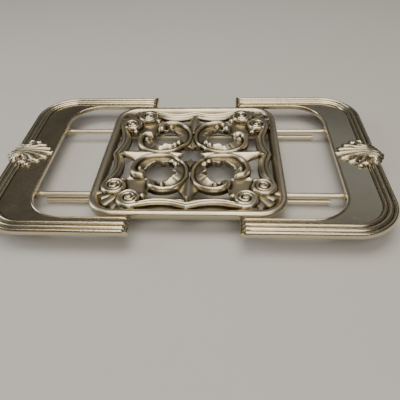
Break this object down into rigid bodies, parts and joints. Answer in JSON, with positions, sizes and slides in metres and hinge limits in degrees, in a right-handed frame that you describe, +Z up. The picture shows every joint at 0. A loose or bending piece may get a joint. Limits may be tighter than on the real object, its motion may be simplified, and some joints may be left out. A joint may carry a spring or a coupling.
{
  "type": "expanding table trivet",
  "caption": "Expanding silver-plated table trivet: a pierced scrollwork panel with reeded C-shaped side frames that slide out on guide rods.",
  "frame": {"origin": "on the table under the middle of the centre panel, which is the middle of the base of the bounding box", "axes": "+X along the slides towards the right frame, +Y towards the back, +Z up from the table"},
  "size_m": [0.328, 0.193, 0.0228],
  "materials": {
    "frame_plate": "polished silver plate, warm and lightly tarnished",
    "panel_casting": "cast silver plate, bright on the ridges and dark in the hollows",
    "shell_casting": "cast silver plate, bright on the ridges and dark in the hollows",
    "guide_bars": "drawn bar, polished and rubbed by sliding",
    "guide_fittings": "plain plated fittings, dull and tarnished",
    "feet": "turned and plated, worn underneath"
  },
  "bodies": {
    "root": {"back_guide_rail": "guide_bars", "centre_panel": "panel_casting", "front_guide_rail": "guide_bars", "left_back_inner_saddle": "guide_fittings", "left_back_outer_saddle": "guide_fittings", "left_back_panel_foot": "feet", "left_front_inner_saddle": "guide_fittings", "left_front_outer_saddle": "guide_fittings", "left_front_panel_foot": "feet", "right_back_inner_saddle": "guide_fittings", "right_back_outer_saddle": "guide_fittings", "right_back_panel_foot": "feet", "right_front_inner_saddle": "guide_fittings", "right_front_outer_saddle": "guide_fittings", "right_front_panel_foot": "feet"},
    "left_frame": {"left_back_frame_foot": "feet", "left_back_rod": "guide_bars", "left_back_rod_socket": "guide_fittings", "left_back_stop_collar": "guide_fittings", "left_front_frame_foot": "feet", "left_front_rod": "guide_bars", "left_front_rod_socket": "guide_fittings", "left_front_stop_collar": "guide_fittings", "left_shell_mount": "shell_casting", "left_side_frame": "frame_plate"},
    "right_frame": {"right_back_frame_foot": "feet", "right_back_rod": "guide_bars", "right_back_rod_socket": "guide_fittings", "right_back_stop_collar": "guide_fittings", "right_front_frame_foot": "feet", "right_front_rod": "guide_bars", "right_front_rod_socket": "guide_fittings", "right_front_stop_collar": "guide_fittings", "right_shell_mount": "shell_casting", "right_side_frame": "frame_plate"}
  },
  "joints": [
    {"name": "left_slide", "type": "slide", "parent": "root", "child": "left_frame", "axis": [-1, 0, 0], "range_m": [-0.0398, 0]},
    {"name": "right_slide", "type": "slide", "parent": "root", "child": "right_frame", "axis": [1, 0, 0], "range_m": [-0.0398, 0]}
  ]
}
